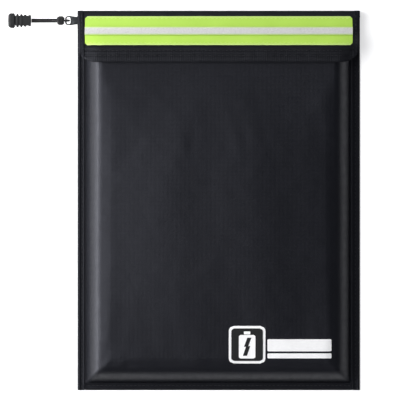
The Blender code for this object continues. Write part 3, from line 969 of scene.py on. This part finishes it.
def flap_form(x, s):
    """The flap's outer face s metres along the cloth, from its lower edge over the top to the wall's foot."""
    over = s - front_part
    if over > turn_long:
        return (x * flap_spread(WALL_Y), WALL_Y, turn_z - (over - turn_long))
    if over > 0:
        angle = over / TURN_R
        y = WALL_Y - TURN_R + TURN_R * math.sin(angle)
        return (x * flap_spread(WALL_Y), y, turn_z + TURN_R * math.cos(angle))
    low = flap_low(x)
    y = low + (WALL_Y - TURN_R - low) * s / front_part
    height = flap_under(x, y) + FLAP_FACE
    hem = smooth((HEM_SEAMS[0] - y) / 0.001)
    height += 0.0003 * hem + 0.00035 * waver(x, y * 0.5, 0.03, 11.0) * smooth((y - low) / 0.004)
    for seam in HEM_SEAMS:
        near = math.exp(-(((y - seam) / 0.0009) ** 2))
        height -= 0.0006 * near
        height += 0.00025 * waver(x, 0.0, 0.0045, seam * 1000) * math.exp(-(((y - seam) / 0.0025) ** 2))
    corner = smooth((abs(x) - 0.128) / 0.008) * smooth((y - 0.180) / 0.004)
    height += 0.0005 * corner * math.sin((abs(x) + 0.8 * y) * 2 * math.pi / 0.0034)
    height -= 0.0005 * smooth((low + 0.0012 - y) / 0.0012)
    return (x * flap_spread(y), y, height)


flap = grid("flap_cloth", (-FLAP_HALF_W, 0), (FLAP_HALF_W, flap_long), 0.0016, 0.0008)
shaped(flap, flap_form)
thicken(flap, FLAP_T)
flap_size = (2 * FLAP_HALF_W, flap_long)
hem_band = (HEM_SEAMS[0] - FLAP_LOW, HEM_RIB)
# Painted shade: the flap's cloth is given darker colours than the same coated cloth on the front wall
dress(flap, glass_cloth("flap_glass_cloth", flap_size, "#060709", "#0c0d10", ribs=hem_band))
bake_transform(flap, "pouch", "flap", start=(0, 0.190, 0.010), end=(0, 0.185, 0.0155))
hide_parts("flap_panel", "top_edge_panel")
inner_x = FLAP_HALF_W - INNER_SIDE
flap_lining = grid("flap_inner_cloth", (-inner_x, 0), (inner_x, INNER_LONG), 0.002)


def flap_lining_form(x, s):
    low = flap_low(x) + INNER_FOOT
    y = low + (INNER_TOP - low) * s / INNER_LONG
    return (x, y, flap_under(x, y) + INNER_T)


shaped(flap_lining, flap_lining_form)
thicken(flap_lining, INNER_T)
inner_size = (2 * FLAP_HALF_W, INNER_LONG)
dress(flap_lining, glass_cloth("flap_inner_glass_cloth", inner_size, rough=0.6))
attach(flap_lining, "flap")
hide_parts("flap_lining")


def row_on_flap(start, end, steps, face):
    """Points from start to end, face metres above the flap's lower side."""
    row = []
    for k in range(steps + 1):
        x = start[0] + (end[0] - start[0]) * k / steps
        y = start[1] + (end[1] - start[1]) * k / steps
        row.append((x, y, flap_under(x, y) + face))
    return row


for number, seam in enumerate(HEM_SEAMS, 1):
    line = row_on_flap((-HEM_ROW_X, seam), (HEM_ROW_X, seam), 60, FLAP_FACE - 0.0002)
    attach(stitches(f"flap_hem_stitches_{number}", line, thread), "flap")

# Flap side hems: the same binding tape as the pouch's, folded over the flap's cut ends and sewn down.
TRIM_FACE = 0.0029  # from the flap's lower side up to the face of the trims on it
HEM_T = 0.0004
HEM_NEAR, HEM_FAR = 0.1343, FLAP_HALF_W - 0.0002
END_ROW_LOW, END_ROW_TOP = 0.147, 0.188
for side_name, sign in (("left", -1), ("right", 1)):
    hem = grid(f"flap_end_binding_{side_name}", (0, 0), (1, 1), 1 / 8, 1 / 60)

    def hem_form(u, v):
        x = sign * (HEM_NEAR + (HEM_FAR - HEM_NEAR) * (u if sign > 0 else 1 - u))
        low = flap_low(x) + 0.0003
        y = low + (WALL_Y - low) * v
        out = (abs(x) - HEM_NEAR) / (HEM_FAR - HEM_NEAR)
        ridge = 0.0002 * math.exp(-(((out - 0.12) / 0.12) ** 2)) - 0.0008 * smooth((out - 0.75) / 0.25)
        height = flap_under(x, y) + TRIM_FACE + ridge + 0.00012 * waver(x, y, 0.005, 4.0)
        return (x * flap_spread(y), y, height)

    shaped(hem, hem_form)
    thicken(hem, HEM_T)
    dress(hem, binding_finish)
    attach(hem, "flap")
    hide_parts(f"flap_hem_{side_name}")
    middle = sign * (HEM_NEAR + HEM_FAR) / 2
    line = row_on_flap((middle, END_ROW_LOW), (middle, END_ROW_TOP), 30, TRIM_FACE)
    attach(stitches(f"flap_end_stitches_{side_name}", line, thread), "flap")

# Warning tape: fluorescent lime woven polyester tape, 30 mm wide, sewn round its edges to the flap, with a
# woven border that stands up a little and is painted a paler lime, a painted highlight along its top and
# bottom edges.
TAPE_X, TAPE_LOW, TAPE_TOP = 0.1337, 0.1551, 0.1840
TAPE_CORNER, TAPE_BOW = 0.0020, 0.0005
TAPE_T, TAPE_ROW_X, TAPE_ROW_IN = 0.0004, 0.130, 0.0022
STRAP_STEP = 0.0020
LIME_THREAD = 0.0012


def from_middle(tree):
    """How far a spot is from its strap's middle line, 0.5 at the strap's edges."""
    height = add(tree, "SeparateXYZ", "Y", {0: add(tree, "TexCoord", "UV")})
    centre = add(tree, "Math", 0, {0: height, 1: 0.5}, operation="SUBTRACT")
    return add(tree, "Math", 0, {0: centre}, operation="ABSOLUTE")


lime, tree, shader = new_finish("fluorescent_polyester", Roughness=0.55, Sheen_Weight=0.1)
place = add(tree, "TexCoord", "Object")
woven = weave(tree, place, LIME_THREAD)
cloud = speckle(tree, place, 0.030, 4.0)
tone = add(tree, "Mix", 0, {0: 0.4, 2: cloud, 3: woven})
cloth_shade = tint(tree, tone, "#a5cf43", "#b3db54")
# Painted highlight: the tape's top and bottom borders are painted a paler lime, where the raised border
# catches the light
border = add(tree, "MapRange", 0, {0: from_middle(tree), 1: 0.445, 2: 0.475, 3: 0.0, 4: 1.0})
shade = add(tree, "Mix", 2, {0: border, 6: cloth_shade, 7: linear("#c4e080")}, data_type="RGBA")
relief = add(tree, "Bump", 0, {"Height": woven, "Distance": 0.00012, "Strength": 0.7})
connect(tree, shader, Base_Color=shade, Normal=relief)


def strap(name, half_x, low, top, corner, bow, face):
    """A flat tape across the flap, with rounded corners, that lies on it face metres above its lower side."""
    piece = grid(name, (-half_x, low), (half_x, top), STRAP_STEP, min(STRAP_STEP, (top - low) / 8))

    def form(x, y):
        from_end = min(y - low, top - y)
        cut = corner - math.sqrt(max(corner**2 - max(corner - from_end, 0) ** 2, 0))
        swell = bow * (1 - ((y - (low + top) / 2) / ((top - low) / 2)) ** 2)
        wide = x * (half_x - cut + swell - bow) / half_x
        border = 0.00015 * math.exp(-((from_end / 0.0012) ** 2))
        return (wide, y, flap_under(wide, y) + face + border + 0.00015 * waver(wide, y * 0.4, 0.02, 12.0))

    shaped(piece, form)
    return piece


warning_tape = strap("lime_warning_tape", TAPE_X, TAPE_LOW, TAPE_TOP, TAPE_CORNER, TAPE_BOW, TRIM_FACE)
thicken(warning_tape, TAPE_T)
dress(warning_tape, lime)
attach(warning_tape, "flap")
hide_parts("hivis_tape")
for edge_name, y in (("lower", TAPE_LOW + TAPE_ROW_IN), ("upper", TAPE_TOP - TAPE_ROW_IN)):
    line = row_on_flap((-TAPE_ROW_X, y), (TAPE_ROW_X, y), 60, TRIM_FACE + 0.00005)
    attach(stitches(f"tape_stitches_{edge_name}", line, lime), "flap")

# Reflective stripe: silver film of glass beads, heat-bonded along the tape's middle. Its edges fade into the
# lime where the bead layer thins out.
STRIPE_LOW, STRIPE_TOP, STRIPE_X = 0.1654, 0.1735, 0.1338
STRIPE_T, STRIPE_UP = 0.0002, 0.0008
BEAD = 0.0009  # real beads are 0.06 mm across; drawn coarser so that the sparkle shows
film, tree, shader = new_finish("glass_bead_film", Roughness=0.45, Metallic=0.25)
place = add(tree, "TexCoord", "Object")
beads = add(tree, "TexVoronoi", "Distance", {"Vector": place, "Scale": 1 / BEAD})
ends = {0: from_middle(tree), 1: 0.26, 2: 0.5, 3: 0.0, 4: 0.8}
fade = add(tree, "MapRange", 0, ends, interpolation_type="SMOOTHSTEP")
silver = tint(tree, beads, "#dddddb", "#c4c4c2")
shade = add(tree, "Mix", 2, {0: fade, 6: silver, 7: linear("#bfdd78")}, data_type="RGBA")
relief = add(tree, "Bump", 0, {"Height": beads, "Distance": 0.00006}, invert=True)
connect(tree, shader, Base_Color=shade, Normal=relief)
stripe = strap("silver_reflective_stripe", STRIPE_X, STRIPE_LOW, STRIPE_TOP, 0.0, 0.0, TRIM_FACE + STRIPE_UP)
thicken(stripe, STRIPE_T)
dress(stripe, film)
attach(stripe, "flap")
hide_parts("reflective_stripe")

# Front print: opaque white screen-print ink, with a plain badge that shows a battery cell, and two bars in
# the place of lettering.
INK_T = 0.00012
INK_LIFT, FIELD_LIFT, CELL_LIFT, BOLT_LIFT = 0.00020, 0.00034, 0.00048, 0.00062
BOLT_LEAN = 0.0032


def print_ink(name, dark, light, relief, **sockets):
    """A screen-print ink, a little mottled where it lay thicker."""
    material, tree, shader = new_finish(name, **sockets)
    place = add(tree, "TexCoord", "Object")
    mottle = speckle(tree, place, 0.004, 4.0)
    shade = tint(tree, mottle, dark, light)
    raised = bump(tree, mottle, relief)
    connect(tree, shader, Base_Color=shade, Normal=raised)
    return material


ink = print_ink("screen_print_ink", "#f2f2f2", "#ffffff", 0.00004, Roughness=0.5)
black_ink = print_ink("black_print_gap", "#0b0c0d", "#141517", 0.0, Roughness=0.55, Specular_IOR_Level=0.3)


def printed(name, low, high, corner, material=ink, lift=INK_LIFT, lean=0.0):
    """A rounded block of ink that lies on the front cloth; lean slants its sides."""
    piece = grid(name, (0, 0), (1, 1), 1 / max(4, round((high[0] - low[0]) / 0.003)), 1 / 24)

    def form(u, v):
        y = low[1] + (high[1] - low[1]) * v
        from_end = min(y - low[1], high[1] - y)
        cut = corner - math.sqrt(max(corner**2 - max(corner - from_end, 0) ** 2, 0))
        x = low[0] + cut + (high[0] - low[0] - 2 * cut) * u + lean * (v - 0.5)
        return (x, y, on_front(x, y) + lift)

    shaped(piece, form)
    thicken(piece, INK_T)
    dress(piece, material)
    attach(piece, "pouch")
    return piece


printed("print_badge", (0.0100, -0.1625), (0.0465, -0.1250), 0.0050)
printed("print_badge_field", (0.0125, -0.1600), (0.0440, -0.1275), 0.0030, black_ink, FIELD_LIFT)
printed("print_cell_body", (0.0200, -0.1575), (0.0365, -0.1340), 0.0018, ink, CELL_LIFT)
printed("print_cell_cap", (0.0250, -0.1335), (0.0315, -0.1305), 0.0008, ink, CELL_LIFT)
printed("print_bolt_upper", (0.0268, -0.1458), (0.0308, -0.1368), 0.0, black_ink, BOLT_LIFT, BOLT_LEAN)
printed("print_bolt_lower", (0.0257, -0.1548), (0.0297, -0.1452), 0.0, black_ink, BOLT_LIFT, BOLT_LEAN)
printed("print_bar_thick", (0.0485, -0.1504), (0.1124, -0.1383), 0.0010)
printed("print_bar_thin", (0.0485, -0.1574), (0.1124, -0.1524), 0.0010)
